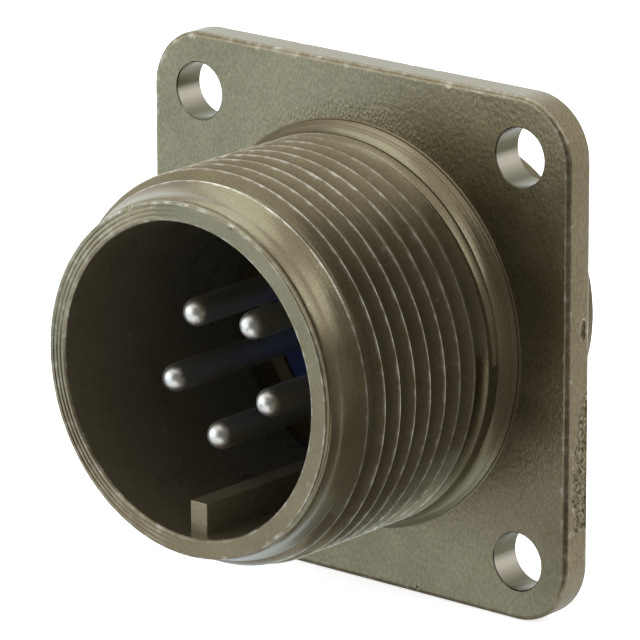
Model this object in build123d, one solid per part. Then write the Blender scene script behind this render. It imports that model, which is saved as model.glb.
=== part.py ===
from build123d import *
import os
from math import radians, tan

# Box-mounting circular connector: a plated metal shell with a square flange and a threaded
# barrel, and a five-pin insert that is loaded from behind and held by a split ring.
# The origin is the centre of the flange's rear face, where it meets the panel. +Z is up and the
# mating plug comes from -Y. Millimetres throughout.

# Flange
flange_side = 29.8
flange_thickness = 2.0
flange_corner_radius = 3.5
flange_edge_chamfer = 0.25
bolt_edge_distance = 3.395
bolt_hole_radius = 1.65

# Threaded barrel, as the cylinder over its thread crests
barrel_reach = 14.4
thread_radius = 11.11
nose_step = 1.18
nose_lip_step = 0.91
nose_lip_length = 1.4
nose_taper_length = 1.8
root_cone_length = 1.0
root_cone_width = 0.44

# Bore for the mating plug, with the polarising key at its lowest point
barrel_wall = 2.28
key_width = 1.2
key_height = 1.75
key_recess = 1.0

# Inner web that the insert seats on, and the cup behind the flange
web_ledge = 0.4
web_thickness = 1.0
cup_radius = 9.2
cup_reach = 7.7
cup_wall = 0.8
insert_key_height = 0.5

# Insulators
front_insulator_thickness = 2.0
rear_insulator_thickness = 2.6
insulator_clearance = 0.1
contact_bore_clearance = 0.04

# Contacts
contact_circle_radius = 3.6
contact_count = 5
pin_radius = 0.794
pin_tip_setback = 2.5
shoulder_radius = 1.45
shoulder_thickness = 1.4
solder_cup_radius = 1.2
solder_cup_reach = 3.4
solder_well_radius = 0.85
solder_well_depth = 4.2
solder_scoop_length = 2.4
solder_scoop_slope = 0.6

# Retaining ring
ring_thickness = 0.8
ring_width = 1.1
ring_groove_depth = 0.35
ring_clearance = 0.05
ring_gap_angle = 36.0

# Levels along the axis, from the mouth at the front to the end of the cup at the back
flange_back = 0.0
flange_front = flange_back - flange_thickness
mouth = flange_front - barrel_reach
web_front = flange_back
web_back = web_front + web_thickness
insulator_joint = web_back + front_insulator_thickness
insulator_back = insulator_joint + rear_insulator_thickness
groove_back = insulator_back + ring_thickness + 2 * ring_clearance
cup_back = flange_back + cup_reach
shoulder_back = insulator_joint + shoulder_thickness
pin_tip = mouth + pin_tip_setback
solder_cup_back = insulator_back + solder_cup_reach

# Radii and spacings that follow from the driving sizes
bolt_spacing = flange_side - 2 * bolt_edge_distance
nose_face_radius = thread_radius - nose_step
bore_radius = thread_radius - barrel_wall
rear_bore_radius = cup_radius - cup_wall
web_radius = rear_bore_radius - web_ledge
groove_radius = rear_bore_radius + ring_groove_depth
insulator_radius = rear_bore_radius - insulator_clearance
key_top_radius = bore_radius - key_height
insert_key_radius = rear_bore_radius - insert_key_height

# Cutting tools run past the faces that they cut by this much
overrun = 1.0


def turned(*outline):
    """The solid that a closed half section of (radius, y) points sweeps about the Y axis."""
    return revolve(make_face(Polyline(*outline, close=True)), Axis.Y)


def bottom_bar(width, low_radius, high_radius, front, back):
    """A bar along the axis at the lowest point of a bore, between two radii."""
    bar = Box(width, back - front, high_radius - low_radius)
    return Pos(0, (front + back) / 2, -(low_radius + high_radius) / 2) * bar


def flange_plate():
    """The square plate with its rounded corners, broken edges and four bolt holes."""
    outline = RectangleRounded(flange_side, flange_side, flange_corner_radius)
    plate = extrude(Plane.XZ * outline, flange_thickness)
    rims = plate.edges().group_by(Axis.Y)
    plate = chamfer(rims[0] + rims[-1], flange_edge_chamfer)
    drill = Cylinder(bolt_hole_radius, 2 * (flange_thickness + overrun))
    places = GridLocations(bolt_spacing, bolt_spacing, 2, 2)
    return plate - [Plane.XZ * place * drill for place in places]


def barrel_and_cup():
    """The turned outside of the shell: nose, thread cylinder, root cone and rear cup."""
    lip_end = mouth + nose_lip_length
    root_radius = thread_radius + root_cone_width
    return turned(
        (0, mouth),
        (nose_face_radius, mouth),
        (thread_radius - nose_lip_step, lip_end),
        (thread_radius, lip_end + nose_taper_length),
        (thread_radius, flange_front - root_cone_length),
        (root_radius, flange_front),
        (root_radius, flange_back),
        (cup_radius, flange_back),
        (cup_radius, cup_back),
        (0, cup_back),
    )


def stepped_bore():
    """Everything that is bored out of the shell, from the mouth through the web to the back."""
    return turned(
        (0, mouth - overrun),
        (bore_radius, mouth - overrun),
        (bore_radius, web_front),
        (web_radius, web_front),
        (web_radius, web_back),
        (rear_bore_radius, web_back),
        (rear_bore_radius, insulator_back),
        (groove_radius, insulator_back),
        (groove_radius, groove_back),
        (rear_bore_radius, groove_back),
        (rear_bore_radius, cup_back + overrun),
        (0, cup_back + overrun),
    )


def shell():
    """Flange, barrel and cup in one piece, with the plug's key and the insert's key."""
    body = flange_plate() + barrel_and_cup() - stepped_bore()
    plug_key = bottom_bar(
        key_width, key_top_radius, (bore_radius + thread_radius) / 2, mouth + key_recess, web_front
    )
    insert_key = bottom_bar(
        key_width, insert_key_radius, rear_bore_radius + cup_wall / 2, web_back, insulator_back
    )
    return body + plug_key + insert_key


def contact_place(index):
    """The place of a contact on its circle, counted from the lowest one."""
    turn = 90 + 360 / contact_count * index
    return Rot(0, turn, 0) * Pos(contact_circle_radius, 0, 0)


def contact_bores(radius, front, back):
    """A circle of round tools that cut the contacts' holes in an insulator."""
    bore = turned((0, front), (radius, front), (radius, back), (0, back))
    return [contact_place(index) * bore for index in range(contact_count)]


def insert_notch():
    """The slot in the insulators' rims that straddles the insert's key."""
    return bottom_bar(
        key_width + 2 * insulator_clearance,
        insert_key_radius - insulator_clearance,
        rear_bore_radius + overrun,
        web_back,
        insulator_back + overrun,
    )


def front_insulator():
    """Moulded disc with a boss that fills the web, bored for the pins."""
    boss_radius = web_radius - insulator_clearance
    disc = turned(
        (0, web_front),
        (boss_radius, web_front),
        (boss_radius, web_back),
        (insulator_radius, web_back),
        (insulator_radius, insulator_joint),
        (0, insulator_joint),
    )
    disc -= contact_bores(
        pin_radius + contact_bore_clearance, web_front - overrun, insulator_joint + overrun
    )
    return disc - insert_notch()


def rear_insulator():
    """Moulded disc that traps the shoulders and lets the solder cups out behind."""
    disc = turned(
        (0, insulator_joint),
        (insulator_radius, insulator_joint),
        (insulator_radius, insulator_back),
        (0, insulator_back),
    )
    disc -= contact_bores(
        shoulder_radius + contact_bore_clearance, insulator_joint - overrun, shoulder_back
    )
    disc -= contact_bores(
        solder_cup_radius + contact_bore_clearance,
        insulator_joint - overrun,
        insulator_back + overrun,
    )
    return disc - insert_notch()


def pin_contact():
    """A round-nosed pin with its shoulder and its scooped solder cup, along the Y axis."""
    nose_centre = pin_tip + pin_radius
    nose = CenterArc((0, nose_centre), pin_radius, -90, 90)
    outline = nose + Polyline(
        (pin_radius, nose_centre),
        (pin_radius, insulator_joint),
        (shoulder_radius, insulator_joint),
        (shoulder_radius, shoulder_back),
        (solder_cup_radius, shoulder_back),
        (solder_cup_radius, solder_cup_back),
        (0, solder_cup_back),
        (0, pin_tip),
    )
    body = revolve(make_face(outline), Axis.Y)
    well_floor = solder_cup_back - solder_well_depth
    well = turned(
        (0, well_floor),
        (solder_well_radius, well_floor),
        (solder_well_radius, solder_cup_back + overrun),
        (0, solder_cup_back + overrun),
    )
    side = solder_cup_radius + overrun
    scoop_front = solder_cup_back - solder_scoop_length
    scoop_outline = Polyline(
        (0, solder_cup_back + overrun),
        (0, scoop_front + solder_scoop_slope * solder_cup_radius),
        (side, scoop_front - solder_scoop_slope * overrun),
        (side, solder_cup_back + overrun),
        close=True,
    )
    scoop = extrude(make_face(scoop_outline), side, both=True)
    return body - well - scoop


def retaining_ring():
    """Flat split ring in the cup's groove, with its gap at the top."""
    front = insulator_back + ring_clearance
    back = front + ring_thickness
    outer = groove_radius - ring_clearance
    inner = outer - ring_width
    ring = turned((inner, front), (outer, front), (outer, back), (inner, back))
    reach = outer + overrun
    half_gap = reach * tan(radians(ring_gap_angle / 2))
    gap_outline = Polyline((0, 0), (-half_gap, reach), (half_gap, reach), close=True)
    gap = extrude(Plane.XZ * make_face(gap_outline), -(back + overrun))
    return ring - gap


def main():
    nodes = {
        "shell": shell(),
        "front_insulator": front_insulator(),
        "rear_insulator": rear_insulator(),
        "retaining_ring": retaining_ring(),
    }
    for index in range(contact_count):
        nodes[f"pin_contact_{index + 1}"] = contact_place(index) * pin_contact()
    os.makedirs("parts", exist_ok=True)
    for name, solid in nodes.items():
        export_step(solid, f"parts/{name}.step")


main()
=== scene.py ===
import math

import bmesh
import bpy
from mathutils import Euler, Matrix, Vector, noise


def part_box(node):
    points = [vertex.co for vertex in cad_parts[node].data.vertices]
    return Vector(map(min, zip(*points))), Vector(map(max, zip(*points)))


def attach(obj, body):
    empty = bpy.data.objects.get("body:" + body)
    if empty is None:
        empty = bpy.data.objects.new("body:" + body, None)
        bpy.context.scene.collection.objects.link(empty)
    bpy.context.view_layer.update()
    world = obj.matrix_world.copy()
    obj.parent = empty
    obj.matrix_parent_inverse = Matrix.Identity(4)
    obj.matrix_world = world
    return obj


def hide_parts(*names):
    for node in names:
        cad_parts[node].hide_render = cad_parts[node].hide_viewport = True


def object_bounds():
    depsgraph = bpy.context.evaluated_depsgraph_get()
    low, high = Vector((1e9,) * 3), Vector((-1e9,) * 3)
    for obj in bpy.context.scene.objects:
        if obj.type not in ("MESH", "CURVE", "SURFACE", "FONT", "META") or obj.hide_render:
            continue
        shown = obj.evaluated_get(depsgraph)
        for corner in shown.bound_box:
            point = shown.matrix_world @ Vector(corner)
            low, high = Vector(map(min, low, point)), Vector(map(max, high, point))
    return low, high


bl_info = {
    "name": "Threaded flange connector",
    "version": (1, 0, 0),
    "blender": (4, 5, 0),
    "location": "3D View > Sidebar > Connector",
    "description": "Builds the shell, insert, contacts and studio of a five-pin flange connector",
    "category": "Add Mesh",
}

# The frame is in metres. The meshes are modelled in millimetres, which suits bmesh's own
# tolerances at this size, and are scaled once at the end.
MM = 0.001
AXIS = (0, 1, 0)
CENTRE = (0, 0, 0)
FULL_TURN = 2 * math.pi

# Faces that meet at a smaller angle than this are shaded as one smooth surface
SMOOTH_ANGLE = math.radians(30)

# Material slots of the shell
CAST, DRILLED, BROKEN, TURNED = range(4)
SLOTS = 4

# Sockets of a Mix node that mixes colours, whose names its other kinds of value share
MIX_A, MIX_B, MIX_RESULT = 6, 7, 2

# Levels and radii inside the shell, in millimetres: the back of the inner web, the groove of the
# retaining ring, and the top of the small key that stops the insert from turning
WEB_BACK = 1.0
GROOVE_FRONT = 5.6
GROOVE_BACK = 6.5
GROOVE_RADIUS = 8.75
INSERT_KEY_TOP = 7.9

# Room around the insert, and around a contact in its bore, in millimetres
CLEARANCE = 0.1
BORE_CLEARANCE = 0.04

# How far a cutting tool runs past the faces that it cuts, in millimetres
OVERRUN = 1.0

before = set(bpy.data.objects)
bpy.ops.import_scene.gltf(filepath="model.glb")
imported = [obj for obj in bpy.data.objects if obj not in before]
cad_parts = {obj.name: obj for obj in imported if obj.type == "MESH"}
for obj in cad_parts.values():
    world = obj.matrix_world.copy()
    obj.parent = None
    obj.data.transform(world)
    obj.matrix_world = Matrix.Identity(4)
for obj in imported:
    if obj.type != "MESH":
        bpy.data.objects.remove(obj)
frame_low, frame_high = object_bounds()
shell_low, shell_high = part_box("shell")
front_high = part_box("front_insulator")[1]
rear_low, rear_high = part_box("rear_insulator")
ring_low, ring_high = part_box("retaining_ring")
pin_low, pin_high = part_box("pin_contact_1")


def linear(code):
    """The linear colour of an sRGB hex code, with an alpha of 1."""
    levels = [int(code[place : place + 2], 16) / 255 for place in (1, 3, 5)]
    return tuple(
        level / 12.92 if level <= 0.04045 else ((level + 0.055) / 1.055) ** 2.4
        for level in levels
    ) + (1.0,)


def length(name, description, default):
    """A length in metres, which the sidebar shows in the scene's own unit."""
    return bpy.props.FloatProperty(
        name=name, description=description, default=default, unit="LENGTH", precision=5
    )


def colour(name, description, code):
    """A colour that starts from an sRGB hex code."""
    return bpy.props.FloatVectorProperty(
        name=name,
        description=description,
        default=linear(code),
        size=4,
        min=0,
        max=1,
        subtype="COLOR",
    )


class ShellSizes(bpy.types.PropertyGroup):
    """Sizes of the flange, barrel, bore and cup"""

    flange_side: length("Flange side", "Width of the square flange", shell_high.x - shell_low.x)
    flange_front: length("Flange front", "Level of the flange's front face", -2.0 * MM)
    flange_corner: length("Flange corner", "Radius of the flange's corners", 3.5 * MM)
    flange_edge: length("Flange edge", "Rounding along the flange's edges", 0.3 * MM)
    bolt_spacing: length("Bolt spacing", "Distance between bolt holes along a side", 23.01 * MM)
    bolt_hole: length("Bolt hole", "Radius of a bolt hole", 1.65 * MM)
    mouth: length("Mouth", "Level of the barrel's front end", shell_low.y)
    nose_face: length("Nose face", "Outer radius of the flat ring at the mouth", 9.93 * MM)
    nose_land: length("Nose land", "Radius at which the nose starts to widen", 10.15 * MM)
    bore: length("Bore", "Radius of the bore for the mating plug", 8.83 * MM)
    web: length("Web", "Radius of the opening in the inner web", 8.0 * MM)
    rear_bore: length("Rear bore", "Radius of the bore that holds the insert", 8.4 * MM)
    cup: length("Cup", "Outer radius of the cup behind the flange", 9.2 * MM)
    cup_back: length("Cup back", "Level of the cup's rear end", shell_high.y)
    key_width: length("Key width", "Width of the polarising key", 1.2 * MM)
    key_top: length("Key top", "Radius at which the polarising key ends", 7.08 * MM)
    key_recess: length("Key recess", "How far the key stands back from the mouth", 1.0 * MM)


class ThreadSizes(bpy.types.PropertyGroup):
    """Sizes of the coupling thread"""

    radius: length("Crest radius", "Radius over the thread's crests", 11.11 * MM)
    pitch: length("Pitch", "Distance between neighbouring crests", 1.27 * MM)
    depth: length("Depth", "Depth of the groove below the crests", 0.66 * MM)
    crest: length("Crest", "Width of the flat on a crest", 0.1 * MM)
    start: length("Start", "Level of the first groove, at the +X side", -3.37 * MM)
    run_out: length("Run-out", "Length over which the groove reaches its full depth", 0.8 * MM)


class InsertSizes(bpy.types.PropertyGroup):
    """Sizes of the insulators and the ring that holds them"""

    outer: length("Outer radius", "Radius of both insulators", front_high.x)
    joint: length("Joint", "Level at which the insulators meet", rear_low.y)
    back: length("Back", "Level of the rear insulator's outer face", rear_high.y)
    edge: length("Edge", "Rounding of the moulded edges", 0.2 * MM)
    ring_outer: length("Ring radius", "Outer radius of the retaining ring", ring_high.x)
    ring_width: length("Ring width", "Radial width of the retaining ring", 1.1 * MM)
    ring_gap: bpy.props.FloatProperty(
        name="Ring gap",
        description="Angle that the retaining ring leaves open at the top",
        default=math.radians(36),
        subtype="ANGLE",
    )


class ContactSizes(bpy.types.PropertyGroup):
    """Sizes of the five pin contacts"""

    count: bpy.props.IntProperty(
        name="Count", description="Number of contacts on the circle", default=5, min=1
    )
    circle: length("Circle", "Radius of the circle of contacts", -(pin_low.z + pin_high.z) / 2)
    pin: length("Pin", "Radius of a pin", 0.794 * MM)
    tip: length("Tip", "Level of the pins' tips", pin_low.y)
    shoulder: length("Shoulder", "Radius of a contact's shoulder", (pin_high.x - pin_low.x) / 2)
    shoulder_length: length("Shoulder length", "Length of a contact's shoulder", 1.4 * MM)
    solder_cup: length("Solder cup", "Radius of a solder cup", 1.2 * MM)
    solder_well: length("Solder well", "Radius of the well in a solder cup", 0.85 * MM)
    back: length("Back", "Level at which the solder cups end", pin_high.y)


class Finishes(bpy.types.PropertyGroup):
    """Colours of the materials"""

    plating: colour("Plating", "Olive drab chromate over the plating", "#847a61")
    plating_dark: colour("Plating, dark", "Darker patches of the plating", "#7b7159")
    worn: colour("Worn edge", "Bare metal where the plating has rubbed off", "#dcd6c8")
    # Painted shade: this colour darkens the thread's grooves and the bore, where shade falls
    dirt: colour("Dirt", "Dirt at the bottom of the thread", "#3a3222")
    drilled: colour("Drilled wall", "Thin chromate on the wall of a drilled hole", "#676350")
    scar: colour("Gate scar", "Broken metal where the casting's gate was", "#a69b7c")
    # Painted shade: this colour darkens the hollows between the scar's grains
    scar_dark: colour("Gate scar, dark", "Hollows between the grains of the gate scar", "#575040")
    moulding: colour("Moulding", "Blue moulded insulators", "#26345c")
    silver: colour("Silver", "Silver plating on the contacts", "#d9d7d0")
    tarnish: colour("Tarnish", "Brass brown pits in the silver", "#a08f6c")
    ring_steel: colour("Ring steel", "Spring steel of the retaining ring", "#8b8a86")


class StudioSettings(bpy.types.PropertyGroup):
    """Camera, lamps and floor"""

    camera_place: bpy.props.FloatVectorProperty(
        name="Camera place",
        description="Where the camera stands",
        default=(0.211785, -0.255778, 0.097250),
        subtype="TRANSLATION",
        unit="LENGTH",
    )
    camera_turn: bpy.props.FloatVectorProperty(
        name="Camera turn",
        description="How the camera is turned",
        default=[math.radians(angle) for angle in (73.550, 0.143, 40.129)],
        subtype="EULER",
    )
    focal_length: bpy.props.FloatProperty(
        name="Focal length", description="Focal length of the lens", default=348.17
    )
    floor: colour("Floor", "Pale floor that the connector stands on", "#fbfbfb")
    ambient: bpy.props.FloatProperty(
        name="Ambient", description="Strength of the white tent's light", default=1.0, min=0
    )


class ConnectorSettings(bpy.types.PropertyGroup):
    """Everything that a user would change"""

    shell: bpy.props.PointerProperty(type=ShellSizes)
    thread: bpy.props.PointerProperty(type=ThreadSizes)
    insert: bpy.props.PointerProperty(type=InsertSizes)
    contact: bpy.props.PointerProperty(type=ContactSizes)
    finish: bpy.props.PointerProperty(type=Finishes)
    studio: bpy.props.PointerProperty(type=StudioSettings)


class Millimetres:
    """A group's lengths in millimetres, and its other values as they are."""

    def __init__(self, group):
        for name in group.__annotations__:
            value = getattr(group, name)
            is_length = group.bl_rna.properties[name].unit == "LENGTH"
            setattr(self, name, value / MM if is_length else value)


# Mesh building, in millimetres


def turned(outline, steps=192, segments=4):
    """A solid of revolution about Y from (radius, y, rounding) corners of its half section."""
    bm = bmesh.new()
    corners = [bm.verts.new((radius, y, 0)) for radius, y, rounding in outline]
    bm.faces.new(corners)
    for corner, (radius, y, rounding) in zip(corners, outline):
        if rounding:
            bmesh.ops.bevel(
                bm,
                geom=[corner],
                offset=rounding,
                offset_type="OFFSET",
                segments=segments,
                profile=0.5,
                affect="VERTICES",
                material=-1,
            )
    bmesh.ops.delete(bm, geom=bm.faces[:], context="FACES_ONLY")
    axial = [edge for edge in bm.edges if all(vert.co.x < 1e-6 for vert in edge.verts)]
    bmesh.ops.delete(bm, geom=axial, context="EDGES")
    bmesh.ops.spin(
        bm,
        geom=bm.verts[:] + bm.edges[:],
        cent=CENTRE,
        axis=AXIS,
        angle=FULL_TURN,
        steps=steps,
        use_merge=True,
    )
    return solid_mesh(bm)


def cylinder(radius, low, high, steps):
    """A round tool about Y between two levels."""
    return turned([(0, low, 0), (radius, low, 0), (radius, high, 0), (0, high, 0)], steps=steps)


def solid_mesh(bm, finish=CAST):
    """The mesh of a closed bmesh, with its faces outwards and one material index.

    A boolean keeps a face's index only where both meshes have that slot, so each has them all.
    """
    bmesh.ops.remove_doubles(bm, verts=bm.verts[:], dist=1e-5)
    bmesh.ops.recalc_face_normals(bm, faces=bm.faces[:])
    for face in bm.faces:
        face.material_index = finish
    mesh = bpy.data.meshes.new("solid")
    bm.to_mesh(mesh)
    bm.free()
    for slot in range(SLOTS):
        mesh.materials.append(None)
    return mesh


def prism(corners, sweep):
    """The solid that a flat outline sweeps along a vector."""
    bm = bmesh.new()
    face = bm.faces.new([bm.verts.new(corner) for corner in corners])
    grown = bmesh.ops.extrude_face_region(bm, geom=[face])
    moved = [item for item in grown["geom"] if isinstance(item, bmesh.types.BMVert)]
    bmesh.ops.translate(bm, vec=sweep, verts=moved)
    return solid_mesh(bm)


def round_edges(bm, edges, rounding, segments):
    """Rounds edges of a bmesh."""
    bmesh.ops.bevel(
        bm,
        geom=edges,
        offset=rounding,
        segments=segments,
        profile=0.5,
        affect="EDGES",
        material=-1,
    )


def block(low, high, rounding=0.0):
    """A box between two corners, with all its edges rounded."""
    bm = bmesh.new()
    bmesh.ops.create_cube(bm, size=1)
    size = Vector(high) - Vector(low)
    bmesh.ops.scale(bm, vec=size, verts=bm.verts)
    bmesh.ops.translate(bm, vec=Vector(low) + size / 2, verts=bm.verts)
    if rounding:
        round_edges(bm, bm.edges[:], rounding, segments=3)
    return solid_mesh(bm)


def painted(mesh, finish):
    """The mesh with one material index on all its faces."""
    mesh.polygons.foreach_set("material_index", [finish] * len(mesh.polygons))
    return mesh


def placed(mesh, place):
    """The mesh moved by a matrix."""
    mesh.transform(place)
    return mesh


def combined(mesh, tool, operation):
    """The mesh with a tool joined to it or cut from it."""
    objects = [bpy.data.objects.new(name, data) for name, data in (("base", mesh), ("tool", tool))]
    for item in objects:
        bpy.context.scene.collection.objects.link(item)
    base, other = objects
    boolean = base.modifiers.new("Boolean", "BOOLEAN")
    boolean.object = other
    boolean.operation = operation
    boolean.solver = "MANIFOLD"
    depsgraph = bpy.context.evaluated_depsgraph_get()
    result = bpy.data.meshes.new_from_object(base.evaluated_get(depsgraph), depsgraph=depsgraph)
    for item in objects:
        bpy.data.objects.remove(item)
    if not result.polygons:
        raise RuntimeError(f"Nothing was left of a {operation.lower()}")
    for used in (mesh, tool):
        bpy.data.meshes.remove(used)
    return result


def shown(mesh, name, nodes, materials):
    """The finished piece: in metres, smooth but for its corners, standing for its CAD nodes."""
    bm = bmesh.new()
    bm.from_mesh(mesh)
    bmesh.ops.dissolve_degenerate(bm, dist=1e-4, edges=bm.edges[:])
    bmesh.ops.scale(bm, vec=(MM, MM, MM), verts=bm.verts)
    bm.to_mesh(mesh)
    bm.free()
    mesh.name = name
    while len(mesh.materials) > len(materials):
        mesh.materials.pop()
    for place, material in enumerate(materials):
        mesh.materials[place] = material
    mesh.polygons.foreach_set("use_smooth", [True] * len(mesh.polygons))
    mesh.set_sharp_from_angle(angle=SMOOTH_ANGLE)
    piece = bpy.data.objects.new(name, mesh)
    bpy.context.scene.collection.objects.link(piece)
    weighted = piece.modifiers.new("Weighted normals", "WEIGHTED_NORMAL")
    weighted.keep_sharp = True
    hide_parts(*nodes)
    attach(piece, "root")


# Materials


def add_node(tree, kind, inputs=None, **settings):
    """Adds a node, makes its settings, and gives each named input a value or a link.

    Where the value is a node, its first output is linked.
    """
    node = tree.nodes.new(kind)
    for name, value in settings.items():
        setattr(node, name, value)
    for name, value in (inputs or {}).items():
        if isinstance(value, bpy.types.Node):
            value = value.outputs[0]
        if isinstance(value, bpy.types.NodeSocket):
            tree.links.new(value, node.inputs[name])
        else:
            node.inputs[name].default_value = value
    return node


def new_material(name):
    """A node material and its shader."""
    material = bpy.data.materials.new(name)
    material.use_nodes = True
    return material, material.node_tree.nodes["Principled BSDF"]


def patterned_material(name):
    """A node material with its tree, its shader and the object's coordinates."""
    material, shader = new_material(name)
    tree = material.node_tree
    return material, tree, shader, add_node(tree, "ShaderNodeTexCoord").outputs["Object"]


def rubbed_edges(tree, place, width, low, high):
    """How far the plating has rubbed off: most on sharp edges, and broken up by a noise."""
    edge = add_node(
        tree,
        "ShaderNodeAmbientOcclusion",
        {"Distance": width},
        inside=True,
        only_local=True,
        samples=8,
    )
    chipping = add_node(
        tree, "ShaderNodeTexNoise", {"Vector": place, "Scale": 1 / (0.6 * MM), "Detail": 5.0}
    )
    rubbed = add_node(
        tree, "ShaderNodeMath", {0: chipping, 1: edge.outputs["AO"]}, operation="SUBTRACT"
    )
    return add_node(
        tree, "ShaderNodeMapRange", {"Value": rubbed, "From Min": low, "From Max": high}
    )


def flange_rim(tree, place):
    """1 at the flange's outer rim and 0 further in, because only the rim is worn."""
    far_out = add_node(tree, "ShaderNodeVectorMath", {0: place}, operation="ABSOLUTE")
    sides = add_node(tree, "ShaderNodeSeparateXYZ", {0: far_out}).outputs
    farthest = add_node(
        tree, "ShaderNodeMath", {0: sides["X"], 1: sides["Z"]}, operation="MAXIMUM"
    )
    return add_node(
        tree,
        "ShaderNodeMapRange",
        {"Value": farthest, "From Min": 13.6 * MM, "From Max": 14.2 * MM},
    )


def handled_and_shaded_length(tree, level):
    """How much the barrel has been handled, least at its root and most at its mouth; the fade
    towards the root also paints the flange's shade and dirt on the crests.
    """
    mouth = add_node(
        tree,
        "ShaderNodeMapRange",
        {"Value": level, "From Min": -13.8 * MM, "From Max": -14.4 * MM, "To Min": 0.9},
    )
    # Towards the root the bright crests fade: painted shade from the flange, as well as dirt
    thread = add_node(
        tree,
        "ShaderNodeMapRange",
        {"Value": level, "From Min": -3.0 * MM, "From Max": -7.0 * MM, "To Min": 0.1},
    )
    return add_node(tree, "ShaderNodeMath", {0: mouth, 1: thread}, operation="MULTIPLY")


def painted_shade_places(tree, radius, level):
    """How much painted shade darkens the barrel: in the thread's grooves and in the bore, and not
    on the nose.
    """
    deep = add_node(
        tree,
        "ShaderNodeMapRange",
        {"Value": radius, "From Min": 11.0 * MM, "From Max": 10.6 * MM, "To Max": 0.38},
    )
    behind_nose = add_node(
        tree,
        "ShaderNodeMapRange",
        {"Value": level, "From Min": -13.4 * MM, "From Max": -13.2 * MM},
    )
    bored = add_node(
        tree, "ShaderNodeMapRange", {"Value": radius, "From Min": 8.9 * MM, "From Max": 8.85 * MM}
    )
    sheltered = add_node(
        tree, "ShaderNodeMath", {0: bored, 1: behind_nose}, operation="MAXIMUM"
    )
    return add_node(tree, "ShaderNodeMath", {0: deep, 1: sheltered}, operation="MULTIPLY")


def cast_grain(tree, place, radius, level):
    """How strong the cast grain is: most on the flange's front, above and below the barrel."""
    near = add_node(
        tree,
        "ShaderNodeMapRange",
        {"Value": radius, "From Min": 13.2 * MM, "From Max": 12.0 * MM, "To Max": 1.2},
    )
    height = add_node(tree, "ShaderNodeSeparateXYZ", {0: place}).outputs["Z"]
    far_up = add_node(tree, "ShaderNodeMath", {0: height}, operation="ABSOLUTE")
    outer = add_node(
        tree,
        "ShaderNodeMapRange",
        {"Value": far_up, "From Min": 8.5 * MM, "From Max": 10.5 * MM},
    )
    facing = add_node(
        tree, "ShaderNodeMapRange", {"Value": level, "From Min": -1.5 * MM, "From Max": -1.9 * MM}
    )
    patch = add_node(tree, "ShaderNodeMath", {0: near, 1: outer}, operation="MULTIPLY")
    return add_node(
        tree, "ShaderNodeMath", {0: patch, 1: facing, 2: 0.3}, operation="MULTIPLY_ADD"
    )


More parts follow.
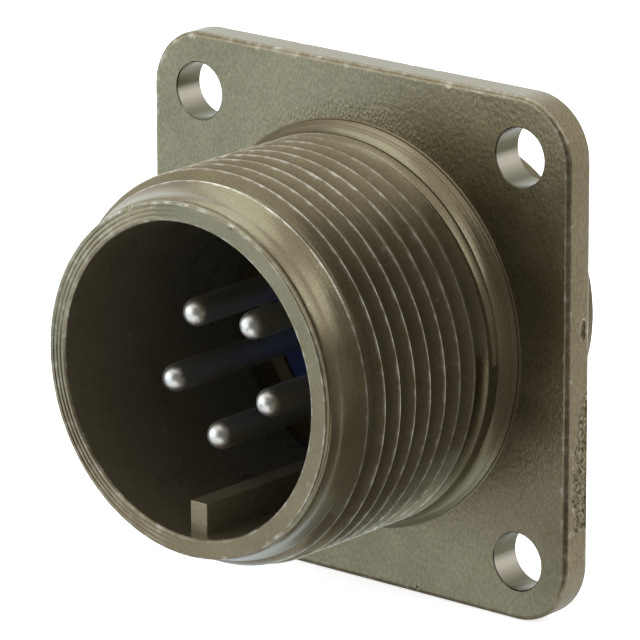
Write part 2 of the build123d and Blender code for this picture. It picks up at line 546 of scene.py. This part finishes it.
def plated_aluminium(finish, name, turned_marks):
    """Olive drab chromate on plated aluminium, as cast on the flange or turned on the barrel.

    It is a metal, so it shows the studio in a dull khaki tint. The chromate is patchy,
    the cast skin is pebbled, the turned one has fine rings, and the edges have rubbed bright. On
    the turning, painted shade darkens the thread's grooves and the bore.
    """
    material, tree, shader, place = patterned_material(name)
    across = add_node(
        tree, "ShaderNodeVectorMath", {0: place, 1: (1, 0, 1)}, operation="MULTIPLY"
    )
    radius = add_node(
        tree, "ShaderNodeVectorMath", {0: across}, operation="LENGTH"
    ).outputs["Value"]
    level = add_node(tree, "ShaderNodeSeparateXYZ", {0: place}).outputs["Y"]
    patches = add_node(
        tree, "ShaderNodeTexNoise", {"Vector": place, "Scale": 1 / (3.5 * MM), "Detail": 4.0}
    )
    # The speckle is drawn out along Z
    drawn = add_node(
        tree, "ShaderNodeVectorMath", {0: place, 1: (1, 1, 0.45)}, operation="MULTIPLY"
    )
    speckle = add_node(
        tree, "ShaderNodeTexNoise", {"Vector": drawn, "Scale": 1 / (0.11 * MM), "Detail": 2.0}
    )
    if turned_marks:
        contrast, smoothest, roughest = 0.12, 0.25, 0.34
        wear = rubbed_edges(tree, place, 0.2 * MM, -0.32, 0.1)
        reached = handled_and_shaded_length(tree, level)
        rings = add_node(tree, "ShaderNodeCombineXYZ", {"X": radius, "Y": level})
        skin = add_node(
            tree, "ShaderNodeTexNoise", {"Vector": rings, "Scale": 1 / (0.16 * MM), "Detail": 3.0}
        )
        relief, grain = 0.012, 0.15
    else:
        contrast, smoothest, roughest = 0.2, 0.29, 0.37
        wear = rubbed_edges(tree, place, 0.4 * MM, -0.3, 0.0)
        reached = flange_rim(tree, place)
        skin = add_node(
            tree, "ShaderNodeTexNoise", {"Vector": place, "Scale": 1 / (0.3 * MM), "Detail": 3.0}
        )
        relief, grain = 0.03, cast_grain(tree, place, radius, level)

    spread = add_node(
        tree, "ShaderNodeMapRange", {"Value": patches, "From Min": 0.35, "From Max": 0.65}
    )
    chromate = add_node(
        tree,
        "ShaderNodeMix",
        {"Factor": spread, MIX_A: finish.plating_dark, MIX_B: finish.plating},
        data_type="RGBA",
    ).outputs[MIX_RESULT]
    mottle = add_node(
        tree,
        "ShaderNodeMapRange",
        {"Value": speckle, "From Min": 0.3, "From Max": 0.7}
        | {"To Min": 1 - contrast, "To Max": 1 + contrast},
    )
    base = add_node(
        tree, "ShaderNodeVectorMath", {0: chromate, "Scale": mottle}, operation="SCALE"
    ).outputs["Vector"]
    if turned_marks:
        # Painted shade darkens the thread's grooves and the bore
        base = add_node(
            tree,
            "ShaderNodeMix",
            {"Factor": painted_shade_places(tree, radius, level), MIX_A: base, MIX_B: finish.dirt},
            data_type="RGBA",
        ).outputs[MIX_RESULT]
    worn = add_node(tree, "ShaderNodeMath", {0: wear, 1: reached}, operation="MULTIPLY")
    tint = add_node(
        tree, "ShaderNodeMix", {"Factor": worn, MIX_A: base, MIX_B: finish.worn}, data_type="RGBA"
    )
    tree.links.new(tint.outputs[MIX_RESULT], shader.inputs["Base Color"])

    fine = add_node(
        tree, "ShaderNodeBump", {"Height": speckle, "Strength": grain, "Distance": 0.035 * MM}
    )
    bump = add_node(
        tree,
        "ShaderNodeBump",
        {"Height": skin, "Strength": 0.6, "Distance": relief * MM, "Normal": fine},
    )
    tree.links.new(bump.outputs["Normal"], shader.inputs["Normal"])
    roughness = add_node(
        tree,
        "ShaderNodeMapRange",
        {"Value": patches, "From Min": 0.3, "From Max": 0.7}
        | {"To Min": smoothest, "To Max": roughest},
    )
    tree.links.new(roughness.outputs["Result"], shader.inputs["Roughness"])
    # The plating in the bore is duller, and mirrors less of the studio
    mirrored = add_node(
        tree,
        "ShaderNodeMapRange",
        {"Value": radius, "From Min": 8.85 * MM, "From Max": 8.9 * MM}
        | {"To Min": 0.6, "To Max": 0.94},
    )
    tree.links.new(mirrored.outputs["Result"], shader.inputs["Metallic"])
    return material


def drilled_aluminium(finish, row):
    """Drilled hole wall: thin brown chromate above, and below it a band of bright metal, rubbed by
    bolts and also a painted highlight.

    The holes' centres are at heights of plus and minus row, in metres.
    """
    material, tree, shader, place = patterned_material("drilled_wall")
    height = add_node(tree, "ShaderNodeSeparateXYZ", {0: place}).outputs["Z"]
    side = add_node(tree, "ShaderNodeMath", {0: height}, operation="SIGN")
    centre = add_node(tree, "ShaderNodeMath", {0: side, 1: row}, operation="MULTIPLY")
    local = add_node(tree, "ShaderNodeMath", {0: height, 1: centre}, operation="SUBTRACT")
    upper = add_node(
        tree,
        "ShaderNodeMapRange",
        {"Value": local, "From Min": 0.0, "From Max": -0.45 * MM, "To Max": 0.6},
    )
    lower = add_node(
        tree, "ShaderNodeMapRange", {"Value": local, "From Min": -1.5 * MM, "From Max": -0.7 * MM}
    )
    # The bright band low on the wall is partly a painted highlight
    rubbed = add_node(tree, "ShaderNodeMath", {0: upper, 1: lower}, operation="MULTIPLY")
    tint = add_node(
        tree,
        "ShaderNodeMix",
        {"Factor": rubbed, MIX_A: finish.drilled, MIX_B: finish.worn},
        data_type="RGBA",
    )
    tree.links.new(tint.outputs[MIX_RESULT], shader.inputs["Base Color"])
    shader.inputs["Metallic"].default_value = 1.0
    shader.inputs["Roughness"].default_value = 0.25
    return material


def broken_casting(finish):
    """Snapped-off casting gate: coarse and sandy, pale on its grains, with painted shade in the
    hollows between them.
    """
    material, tree, shader, place = patterned_material("cast_gate_scar")
    grains = add_node(
        tree, "ShaderNodeTexNoise", {"Vector": place, "Scale": 1 / (0.22 * MM), "Detail": 4.0}
    )
    height = add_node(
        tree, "ShaderNodeMapRange", {"Value": grains, "From Min": 0.34, "From Max": 0.56}
    )
    # Painted shade: the same noise that raises the grains darkens the hollows between them
    tint = add_node(
        tree,
        "ShaderNodeMix",
        {"Factor": height, MIX_A: finish.scar_dark, MIX_B: finish.scar},
        data_type="RGBA",
    )
    tree.links.new(tint.outputs[MIX_RESULT], shader.inputs["Base Color"])
    rough = add_node(
        tree, "ShaderNodeBump", {"Height": grains, "Strength": 0.8, "Distance": 0.12 * MM}
    )
    tree.links.new(rough.outputs["Normal"], shader.inputs["Normal"])
    shader.inputs["Metallic"].default_value = 0.7
    shader.inputs["Roughness"].default_value = 0.5
    return material


def moulded_thermoset(finish):
    """Blue compression-moulded thermoset: hard and opaque, with a soft gloss."""
    material, shader = new_material("blue_moulded_thermoset")
    shader.inputs["Base Color"].default_value = finish.moulding
    shader.inputs["Roughness"].default_value = 0.4
    return material


def silver_plate(finish):
    """Silver plate on brass pins: bright and white, with small tarnished pits at the tips."""
    material, tree, shader, place = patterned_material("silver_plated_brass")
    pits = add_node(
        tree, "ShaderNodeTexNoise", {"Vector": place, "Scale": 1 / (0.3 * MM), "Detail": 3.0}
    )
    depth = add_node(
        tree, "ShaderNodeMapRange", {"Value": pits, "From Min": 0.58, "From Max": 0.7}
    )
    level = add_node(tree, "ShaderNodeSeparateXYZ", {0: place}).outputs["Y"]
    tip = add_node(
        tree,
        "ShaderNodeMapRange",
        {"Value": level, "From Min": -12.9 * MM, "From Max": -13.2 * MM, "To Max": 0.7},
    )
    pitted = add_node(tree, "ShaderNodeMath", {0: depth, 1: tip}, operation="MULTIPLY")
    tint = add_node(
        tree,
        "ShaderNodeMix",
        {"Factor": pitted, MIX_A: finish.silver, MIX_B: finish.tarnish},
        data_type="RGBA",
    )
    tree.links.new(tint.outputs[MIX_RESULT], shader.inputs["Base Color"])
    shader.inputs["Metallic"].default_value = 1.0
    shader.inputs["Roughness"].default_value = 0.36
    return material


def spring_steel(finish):
    """Blanked spring steel: plain grey, with a satin gloss."""
    material, shader = new_material("blanked_spring_steel")
    shader.inputs["Metallic"].default_value = 1.0
    shader.inputs["Base Color"].default_value = finish.ring_steel
    shader.inputs["Roughness"].default_value = 0.35
    return material


# Pieces


def flange_plate(size):
    """The square plate with rounded corners and edges."""
    bm = bmesh.new()
    bmesh.ops.create_cube(bm, size=1)
    thickness = -size.flange_front
    bmesh.ops.scale(bm, vec=(size.flange_side, thickness, size.flange_side), verts=bm.verts)
    bmesh.ops.translate(bm, vec=(0, -thickness / 2, 0), verts=bm.verts)
    # First the edges through the thickness, then the edges around the two faces
    for through, rounding, segments in (
        (True, size.flange_corner, 16),
        (False, size.flange_edge, 4),
    ):
        edges = [
            edge
            for edge in bm.edges
            if through == (abs(edge.verts[0].co.y - edge.verts[1].co.y) > thickness / 2)
        ]
        round_edges(bm, edges, rounding, segments)
    return solid_mesh(bm)


def bolt_hole(size, x, z):
    """The tool that drills one bolt hole and breaks its edges."""
    break_width = 0.06
    radius, front = size.bolt_hole, size.flange_front
    outline = [
        (0, front - OVERRUN, 0),
        (radius + break_width + OVERRUN, front - OVERRUN, 0),
        (radius + break_width, front, 0),
        (radius, front + break_width, 0),
        (radius, -break_width, 0),
        (radius + break_width, 0, 0),
        (radius + break_width + OVERRUN, OVERRUN, 0),
        (0, OVERRUN, 0),
    ]
    return placed(painted(turned(outline, steps=64), DRILLED), Matrix.Translation((x, 0, z)))


def gate_scar(size):
    """The tool that leaves a rough, shallow patch where the casting's gate was snapped off."""
    side = size.flange_side / 2
    middle = Vector((side + 0.5, -0.78, -5.35))
    half = Vector((0.5, 0.74, 4.05))
    proud, deepest, shore_width = 0.03, 0.4, 0.2
    bm = bmesh.new()
    bmesh.ops.create_cube(bm, size=2)
    inner = min(bm.faces, key=lambda face: face.calc_center_median().x)
    bmesh.ops.subdivide_edges(bm, edges=inner.edges[:], cuts=70, use_grid_fill=True)
    for vert in bm.verts:
        inside = vert.co.x < 0
        up = vert.co.z
        # The patch's front border is ragged, and draws back towards the patch's upper end
        shoreline = 0.15 + 0.35 * noise.noise((0, 0, 5 * up)) + 1.2 * max(up - 0.1, 0)
        border = min(1 + vert.co.y - shoreline, 1 - vert.co.y, 4 * (1 - abs(up)))
        vert.co = middle + Vector([part * reach for part, reach in zip(vert.co, half)])
        if inside:
            grit = noise.fractal(vert.co * 2.2, 0.7, 2.1, 5)
            depth = min(max(border, 0) / shore_width, 1) * (0.16 + 0.18 * grit)
            vert.co.x = max(vert.co.x + proud - depth, side - deepest)
    return solid_mesh(bm, BROKEN)


def flange(size):
    """The plate with its opening for the barrel, its bolt holes and its gate scar."""
    # The opening's edge lies within the barrel's wall, so that none of their faces coincide
    opening_radius = 9.07
    row = size.bolt_spacing / 2
    opening = cylinder(opening_radius, -4, 2, steps=256)
    holes = [bolt_hole(size, x, z) for x in (-row, row) for z in (-row, row)]
    plate = flange_plate(size)
    for tool in (opening, *holes, gate_scar(size)):
        plate = combined(plate, tool, "DIFFERENCE")
    return plate


def keys(size):
    """The key that the mating plug must match, and the key that stops the insert from turning."""
    half = size.key_width / 2
    plug_key_end, within_cup_wall = -1.0, 8.8
    return (
        block(
            (-half, size.mouth + size.key_recess, -(size.bore + OVERRUN)),
            (half, plug_key_end, -size.key_top),
            rounding=0.08,
        ),
        block((-half, WEB_BACK / 2, -within_cup_wall), (half, GROOVE_FRONT, -INSERT_KEY_TOP)),
    )


def chip(place, reach, finish):
    """The tool that leaves a small rough dent of the given half widths."""
    bm = bmesh.new()
    bmesh.ops.create_icosphere(bm, subdivisions=3, radius=1)
    for vert in bm.verts:
        vert.co *= 1 + 0.25 * noise.noise(vert.co * 2 + Vector(place))
    bmesh.ops.scale(bm, vec=reach, verts=bm.verts)
    bmesh.ops.translate(bm, vec=place, verts=bm.verts)
    return solid_mesh(bm, finish)


def chips(size):
    """A dent in the flange's side, and chips on the edges of the flange and the rim."""
    side = size.flange_side / 2 + 0.02
    return [
        chip(place, reach, finish)
        for place, reach, finish in (
            ((side, -0.65, 2.05), (0.2, 0.3, 0.62), CAST),
            ((4.41, size.flange_front, -14.75), (0.12, 0.12, 0.5), BROKEN),
            ((-5.47, -0.2, side), (0.5, 0.25, 0.12), BROKEN),
            ((2.48, -0.1, side), (0.35, 0.25, 0.12), BROKEN),
            ((4.33, -0.25, side), (0.45, 0.2, 0.1), BROKEN),
            ((-4.08, size.mouth, 9.06), (0.3, 0.15, 0.14), BROKEN),
            ((3.28, size.mouth, 9.15), (0.25, 0.07, 0.1), BROKEN),
        )
    ]


def barrel(size, thread):
    """The turned body: nose, thread cylinder, root, cup, and the stepped bore through them."""
    mouth, front = size.mouth, size.flange_front
    crest, root = thread.radius, thread.radius + 0.44
    bore_relief = 0.12
    ring_depth, ring_fade, ringed_radius = 0.05, 6, 9.8
    outline = []
    for ring in (9.15, 9.4, 9.65):
        outline += [(ring - 0.09, mouth, 0), (ring, mouth + ring_depth, 0), (ring + 0.04, mouth, 0)]
    outline += [
        # The nose: a flat rim, a fine groove behind its edge, and a taper up to the crests
        (size.nose_face, mouth, 0.1),
        (size.nose_face, mouth + 0.3, 0.02),
        (size.nose_face - 0.05, mouth + 0.36, 0.02),
        (size.nose_face + 0.06, mouth + 0.42, 0.02),
        (size.nose_land, mouth + 0.75, 0.3),
        (size.nose_land + 0.03, mouth + 1.4, 0.6),
        (crest, mouth + 3.0, 0.06),
        # The root: fine turned steps up to the flange
        (crest, front - 1.24, 0),
        (crest - 0.04, front - 1.22, 0),
        (crest + 0.03, front - 1.07, 0),
        (crest - 0.01, front - 1.05, 0),
        (crest + 0.07, front - 0.91, 0),
        (crest + 0.04, front - 0.89, 0),
        (crest + 0.17, front - 0.7, 0),
        (crest + 0.15, front - 0.68, 0),
        (crest + 0.34, front - 0.48, 0.02),
        (crest + 0.32, front - 0.45, 0.02),
        (root + 0.08, front - 0.22, 0.03),
        (root + 0.1, front - 0.08, 0.02),
        (root + 0.16, front - 0.03, 0.02),
        (root + 0.18, front + 1, 0),
        # The cup behind the flange, and the bore from the back to the mouth
        (size.cup, front + 1, 0),
        (size.cup, size.cup_back, 0.1),
        (size.rear_bore, size.cup_back, 0.1),
        (size.rear_bore, GROOVE_BACK, 0),
        (GROOVE_RADIUS, GROOVE_BACK, 0),
        (GROOVE_RADIUS, GROOVE_FRONT, 0),
        (size.rear_bore, GROOVE_FRONT, 0),
        (size.rear_bore, WEB_BACK, 0),
        (size.web, WEB_BACK, 0),
        (size.web, 0, 0),
        (size.bore + bore_relief, 0, 0),
        (size.bore + bore_relief, front, 0),
        (size.bore, front, 0),
        (size.bore, mouth + 0.1, 0),
        (size.bore + 0.1, mouth, 0.03),
    ]
    mesh = turned(outline, steps=256, segments=6)
    # The rings of the facing cut show on the -X half of the rim only
    for vert in mesh.vertices:
        depth = vert.co.y - mouth
        if depth <= ring_depth and math.hypot(vert.co.x, vert.co.z) < ringed_radius:
            vert.co.y = mouth + depth * min(max(-vert.co.x / ring_fade, 0), 1)
    return mesh


def thread_groove(size, thread):
    """The tool that cuts the thread: a vee swept along the helix, drawn out at the run-out."""
    steps = 160
    half = (thread.pitch - thread.crest) / 2
    slope = math.tan(math.radians(30))
    crest_edge, outside, root = 0.05, 0.05, 0.06
    floor = half - thread.depth * slope
    shoulder = half - crest_edge * slope
    right_side = [
        (thread.radius - thread.depth, floor - root),
        (thread.radius - thread.depth + root, floor + root * slope),
        (thread.radius - crest_edge, shoulder),
        (thread.radius + outside, shoulder + crest_edge + outside),
    ]
    section = [(radius, -y) for radius, y in reversed(right_side)] + right_side
    bm = bmesh.new()
    face = bm.faces.new([bm.verts.new((radius, thread.start + y, 0)) for radius, y in section])
    # The last turns run clear of the nose, which is narrower than the groove's floor
    turns = math.ceil((thread.start - size.mouth - 1.0) / thread.pitch)
    bmesh.ops.spin(
        bm,
        geom=[face],
        cent=CENTRE,
        axis=(0, -1, 0),
        dvec=(0, -thread.pitch / steps, 0),
        angle=FULL_TURN * turns,
        steps=steps * turns,
    )
    full = thread.start - thread.run_out
    lift = thread.depth + 0.02
    for vert in bm.verts:
        short = min(max((vert.co.y - full) / thread.run_out, 0), 1)
        radius = math.hypot(vert.co.x, vert.co.z)
        vert.co += Vector((vert.co.x, 0, vert.co.z)) / radius * short * lift
    return solid_mesh(bm)


class CONNECTOR_OT_shell(bpy.types.Operator):
    """Build the threaded shell with its flange, keys and bolt holes"""

    bl_idname = "connector.shell"
    bl_label = "Shell"

    def execute(self, context):
        settings = context.scene.connector
        size, thread = Millimetres(settings.shell), Millimetres(settings.thread)
        body = combined(barrel(size, thread), thread_groove(size, thread), "DIFFERENCE")
        painted(body, TURNED)
        for part in (flange(size), *keys(size)):
            body = combined(body, part, "UNION")
        for tool in chips(size):
            body = combined(body, tool, "DIFFERENCE")
        finish = settings.finish
        materials = [
            plated_aluminium(finish, "olive_drab_plated_casting", turned_marks=False),
            drilled_aluminium(finish, size.bolt_spacing / 2 * MM),
            broken_casting(finish),
            plated_aluminium(finish, "olive_drab_plated_turning", turned_marks=True),
        ]
        shown(body, "threaded_shell", ["shell"], materials)
        return {"FINISHED"}


def contact_place(contact, index):
    """The place of a contact on its circle, counted from the lowest one."""
    turn = math.pi / 2 + FULL_TURN / contact.count * index
    return Matrix.Rotation(turn, 4, "Y") @ Matrix.Translation((contact.circle, 0, 0))


def with_bores(mesh, contact, radius, low, high):
    """The mesh with a round hole at each contact."""
    for index in range(contact.count):
        bore = cylinder(radius, low, high, steps=48)
        mesh = combined(mesh, placed(bore, contact_place(contact, index)), "DIFFERENCE")
    return mesh


class CONNECTOR_OT_insulators(bpy.types.Operator):
    """Build the two moulded insulators"""

    bl_idname = "connector.insulators"
    bl_label = "Insulators"

    def execute(self, context):
        settings = context.scene.connector
        insert, contact = Millimetres(settings.insert), Millimetres(settings.contact)
        shell = Millimetres(settings.shell)
        boss = shell.web - CLEARANCE
        seat_edge = 0.05
        front = turned(
            [
                (0, 0, 0),
                (boss, 0, insert.edge),
                (boss, WEB_BACK, 0),
                (insert.outer, WEB_BACK, seat_edge),
                (insert.outer, insert.joint, seat_edge),
                (0, insert.joint, 0),
            ]
        )
        rear = turned(
            [
                (0, insert.joint, 0),
                (insert.outer, insert.joint, seat_edge),
                (insert.outer, insert.back, insert.edge),
                (0, insert.back, 0),
            ]
        )
        # The bores are for the pins, the solder cups and the shoulders
        start, end = insert.joint - OVERRUN, insert.back + OVERRUN
        shoulder_back = insert.joint + contact.shoulder_length
        front = with_bores(
            front, contact, contact.pin + BORE_CLEARANCE, -OVERRUN, insert.joint + OVERRUN
        )
        rear = with_bores(rear, contact, contact.solder_cup + BORE_CLEARANCE, start, end)
        rear = with_bores(rear, contact, contact.shoulder + BORE_CLEARANCE, start, shoulder_back)
        half = shell.key_width / 2 + CLEARANCE
        low = (-half, WEB_BACK - CLEARANCE, -(insert.outer + OVERRUN))
        high = (half, end, -(INSERT_KEY_TOP - CLEARANCE))
        front = combined(front, block(low, high), "DIFFERENCE")
        rear = combined(rear, block(low, high), "DIFFERENCE")
        moulding = moulded_thermoset(settings.finish)
        shown(front, "front_moulding", ["front_insulator"], [moulding])
        shown(rear, "rear_moulding", ["rear_insulator"], [moulding])
        return {"FINISHED"}


class CONNECTOR_OT_contacts(bpy.types.Operator):
    """Build the silver-plated contacts"""

    bl_idname = "connector.contacts"
    bl_label = "Contacts"

    def execute(self, context):
        settings = context.scene.connector
        contact = Millimetres(settings.contact)
        insert = Millimetres(settings.insert)
        silver = silver_plate(settings.finish)
        low, high, back = insert.joint, insert.joint + contact.shoulder_length, contact.back
        well_floor, cup_edge = back - 4.2, 0.08
        scoop_front, slope, side = back - 2.4, 0.6, contact.solder_cup + OVERRUN
        scoop_outline = [
            (0, back + OVERRUN, -side),
            (0, scoop_front + slope * contact.solder_cup, -side),
            (side, scoop_front - slope, -side),
            (side, back + OVERRUN, -side),
        ]
        # How far each pin's tip stands off its place, across and up, as in the photograph
        leans = ((-0.31, -0.25), (-0.11, -0.10), (0.14, -0.08), (-0.04, -0.08), (-0.19, -0.19))
        for index in range(contact.count):
            pin = turned(
                [
                    (0, contact.tip, 0),
                    # The nose is a ball of just under the pin's radius
                    (contact.pin, contact.tip, contact.pin * 0.9999),
                    (contact.pin, low, 0),
                    (contact.shoulder, low, 0),
                    (contact.shoulder, high, 0),
                    (contact.solder_cup, high, 0),
                    (contact.solder_cup, back, cup_edge),
                    (contact.solder_well, back, cup_edge),
                    (contact.solder_well, well_floor, 0),
                    (0, well_floor, 0),
                ],
                steps=64,
                segments=16,
            )
            pin = combined(pin, prism(scoop_outline, (0, 0, 2 * side)), "DIFFERENCE")
            pin = placed(pin, contact_place(contact, index))
            across, up = leans[index % len(leans)]
            for vert in pin.vertices:
                share = min(vert.co.y / contact.tip, 1) if vert.co.y < 0 else 0
                vert.co += Vector((across, 0, up)) * share
            name = f"contact_{index + 1}"
            shown(pin, name, [f"pin_{name}"], [silver])
        return {"FINISHED"}


class CONNECTOR_OT_retaining_ring(bpy.types.Operator):
    """Build the split ring that holds the insert"""

    bl_idname = "connector.retaining_ring"
    bl_label = "Retaining ring"

    def execute(self, context):
        settings = context.scene.connector
        insert = Millimetres(settings.insert)
        outer, inner = insert.ring_outer, insert.ring_outer - insert.ring_width
        low, high = ring_low.y / MM, ring_high.y / MM
        edge = 0.08
        ring = turned(
            [(inner, low, edge), (outer, low, edge), (outer, high, edge), (inner, high, edge)]
        )
        reach = outer + OVERRUN
        half_gap = reach * math.tan(insert.ring_gap / 2)
        start = low - OVERRUN
        corners = [(0, start, 0), (half_gap, start, reach), (-half_gap, start, reach)]
        gap = prism(corners, (0, high - low + 2 * OVERRUN, 0))
        ring = combined(ring, gap, "DIFFERENCE")
        steel = spring_steel(settings.finish)
        shown(ring, "split_ring", ["retaining_ring"], [steel])
        return {"FINISHED"}


def softbox(name, place, width, height, radiance):
    """A rectangular lamp of the given radiance that faces the connector."""
    target = Vector((0, -0.008, 0))
    watts_per_area = 4 * radiance
    lamp = bpy.data.lights.new(name, "AREA")
    lamp.shape = "RECTANGLE"
    lamp.size, lamp.size_y = width, height
    lamp.energy = watts_per_area * width * height
    lamp.color = linear("#dff2ff")[:3]
    stand = bpy.data.objects.new(name, lamp)
    stand.location = place
    stand.rotation_euler = (target - Vector(place)).to_track_quat("-Z", "Y").to_euler()
    bpy.context.scene.collection.objects.link(stand)


def studio_card(name, low, high, turn, code, strength):
    """A lit card between two corners, turned about the object, that only metal reflects."""
    mesh = placed(block(low, high), Matrix.Rotation(math.radians(turn), 4, "Z"))
    mesh.transform(Matrix.Scale(MM, 4))
    mesh.materials.clear()
    card = bpy.data.objects.new(name, mesh)
    bpy.context.scene.collection.objects.link(card)
    card.visible_camera = False
    card.visible_diffuse = False
    card.visible_shadow = False
    material, shader = new_material(name)
    shader.inputs["Base Color"].default_value = (0, 0, 0, 1)
    shader.inputs["Specular IOR Level"].default_value = 0
    shader.inputs["Emission Color"].default_value = linear(code)
    shader.inputs["Emission Strength"].default_value = strength
    mesh.materials.append(material)


def studio_floor(scene, colour_of_floor):
    """The pale paper under the connector, lifted to white for the camera and faintly for gloss."""
    half_width, drop = 1.5, 0.00002
    bm = bmesh.new()
    bmesh.ops.create_grid(bm, x_segments=1, y_segments=1, size=half_width)
    bmesh.ops.translate(bm, vec=(0, 0, frame_low.z - drop), verts=bm.verts)
    mesh = bpy.data.meshes.new("studio_floor")
    bm.to_mesh(mesh)
    bm.free()
    floor = bpy.data.objects.new("studio_floor", mesh)
    scene.collection.objects.link(floor)
    material, shader = new_material("matt_paper_sweep")
    tree = material.node_tree
    shader.inputs["Base Color"].default_value = colour_of_floor
    shader.inputs["Roughness"].default_value = 0.9
    rays = add_node(tree, "ShaderNodeLightPath").outputs
    mirrored = add_node(
        tree, "ShaderNodeMath", {0: rays["Is Glossy Ray"], 1: 0.1}, operation="MULTIPLY"
    )
    lift = add_node(
        tree,
        "ShaderNodeMath",
        {0: rays["Is Camera Ray"], 1: 0.7, 2: mirrored},
        operation="MULTIPLY_ADD",
    )
    shader.inputs["Emission Color"].default_value = (1, 1, 1, 1)
    tree.links.new(lift.outputs["Value"], shader.inputs["Emission Strength"])
    mesh.materials.append(material)


def photo_camera(scene, studio):
    """The camera, where it stood for the photograph."""
    data = bpy.data.cameras.new("photo_camera")
    data.lens = studio.focal_length
    data.sensor_width = 36
    # How far the photograph's frame stands off the lens's axis, as a share of its width
    data.shift_x, data.shift_y = -0.0039, 0.0151
    data.clip_start, data.clip_end = 0.01, 10
    camera = bpy.data.objects.new("photo_camera", data)
    camera.location = studio.camera_place
    camera.rotation_euler = Euler(studio.camera_turn)
    scene.collection.objects.link(camera)
    scene.camera = camera


class CONNECTOR_OT_studio(bpy.types.Operator):
    """Set up the floor, the tent's light and the camera"""

    bl_idname = "connector.studio"
    bl_label = "Studio"

    def execute(self, context):
        scene = context.scene
        studio = scene.connector.studio
        studio_floor(scene, studio.floor)

        world = bpy.data.worlds.new("white_tent")
        scene.world = world
        world.use_nodes = True
        background = world.node_tree.nodes["Background"]
        background.inputs["Color"].default_value = (1, 1, 1, 1)
        background.inputs["Strength"].default_value = studio.ambient

        # Cards from one corner to the other in millimetres, turned by degrees
        low = frame_low.z / MM
        high = low + 0.05
        for name, start, end, turn, code, strength in (
            ("standing_black_card", (-35, -60, low), (75, -58, 62), 30, "#6e6c68", 1),
            ("lying_black_card", (-2, -58, low), (75, -12, high), 30, "#6e6c68", 1),
            ("left_white_card", (-140, -140, low), (-14, -26, high), 0, "#d0e9ff", 1.65),
            ("near_white_card", (-12, -13, low), (14, -2.5, high), 0, "#e3f3ff", 1.25),
            ("near_grey_card", (-13, -25, low), (4, -13.1, high), 0, "#f5f1ff", 0.75),
            ("rim_grey_card", (-44, -70, low), (-5, -26.1, high + 0.05), 0, "#e4ecf4", 1.2),
            ("right_black_card", (75, -60, low), (77, 45, 34), 0, "#8c8a86", 1),
            ("right_grey_card", (22, 6, low), (140, 140, high), 0, "#ffffff", 0.95),
        ):
            studio_card(name, start, end, turn, code, strength)
        # Lamps by their place, width and height in metres, and their radiance
        for name, place, width, height, radiance in (
            ("left_softbox", (-0.16, -0.19, 0.04), 0.25, 0.2, 0.9),
            ("rear_softbox", (-0.16, 0.19, 0.09), 0.25, 0.2, 0.4),
            ("top_softbox", (-0.08, 0.05, 0.28), 0.25, 0.25, 1.2),
            ("right_softbox", (0.2, 0.03, 0.2), 0.15, 0.15, 1.0),
        ):
            softbox(name, place, width, height, radiance)

        photo_camera(scene, studio)
        scene.view_settings.view_transform = "Standard"
        return {"FINISHED"}


class CONNECTOR_PT_panel(bpy.types.Panel):
    """The connector's sizes, colours and build steps"""

    bl_idname = "CONNECTOR_PT_panel"
    bl_label = "Flange connector"
    bl_space_type = "VIEW_3D"
    bl_region_type = "UI"
    bl_category = "Connector"

    def draw(self, context):
        settings = context.scene.connector
        for name in settings.__annotations__:
            group = getattr(settings, name)
            box = self.layout.box()
            box.label(text=name.capitalize())
            for value in group.__annotations__:
                box.prop(group, value)
        for operator in OPERATORS:
            self.layout.operator(operator.bl_idname)


GROUPS = (
    ShellSizes,
    ThreadSizes,
    InsertSizes,
    ContactSizes,
    Finishes,
    StudioSettings,
    ConnectorSettings,
)
OPERATORS = (
    CONNECTOR_OT_shell,
    CONNECTOR_OT_insulators,
    CONNECTOR_OT_contacts,
    CONNECTOR_OT_retaining_ring,
    CONNECTOR_OT_studio,
)


def register():
    for item in GROUPS + OPERATORS + (CONNECTOR_PT_panel,):
        bpy.utils.register_class(item)
    bpy.types.Scene.connector = bpy.props.PointerProperty(type=ConnectorSettings)


def unregister():
    del bpy.types.Scene.connector
    for item in reversed(GROUPS + OPERATORS + (CONNECTOR_PT_panel,)):
        bpy.utils.unregister_class(item)


def main():
    register()
    bpy.ops.connector.shell()
    bpy.ops.connector.insulators()
    bpy.ops.connector.contacts()
    bpy.ops.connector.retaining_ring()
    bpy.ops.connector.studio()


if __name__ == "__main__":
    main()
